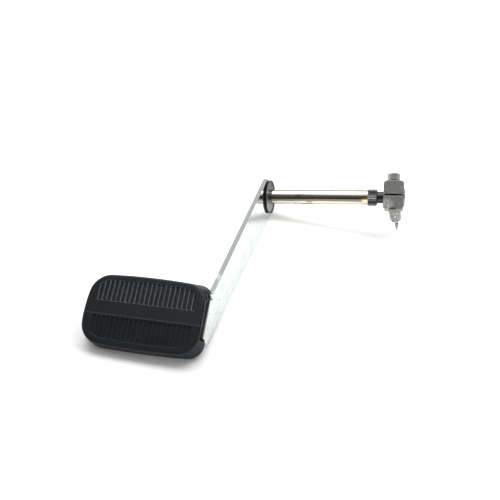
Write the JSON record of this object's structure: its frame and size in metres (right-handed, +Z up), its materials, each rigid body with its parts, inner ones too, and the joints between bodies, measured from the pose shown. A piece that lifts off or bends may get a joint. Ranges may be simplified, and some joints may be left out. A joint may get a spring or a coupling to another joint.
{
  "type": "brake pedal",
  "caption": "Brake pedal with a ribbed rubber pad on a folded plate arm, a long pivot shaft and a split clamp lever.",
  "frame": {"origin": "on the pivot shaft's axis at the shoulder that holds the cup washer against the arm", "axes": "+X along the pivot shaft towards the clamp lever, the arm runs along -Y to the pad, +Z up with the arm's width upright"},
  "size_m": [0.2944, 0.3078, 0.094],
  "materials": {
    "bright_plate": "bright plated, lightly worn",
    "black_rubber": "satin moulded",
    "polished_steel": "polished, stained near the end",
    "weld_bead": "welded, plated over",
    "dark_steel": "pressed, darkened",
    "cast_grey": "forged, worn zinc grey",
    "screw_steel": "knurled head",
    "stud_plate": "plated"
  },
  "bodies": {
    "root": {"pedal_arm": "bright_plate", "pedal_pad": "black_rubber", "pivot_shaft": "polished_steel", "shaft_weld": "weld_bead", "cup_washer": "dark_steel", "clamp_lever": "cast_grey", "pinch_screw": "screw_steel", "lever_stud": "stud_plate"}
  },
  "joints": []
}
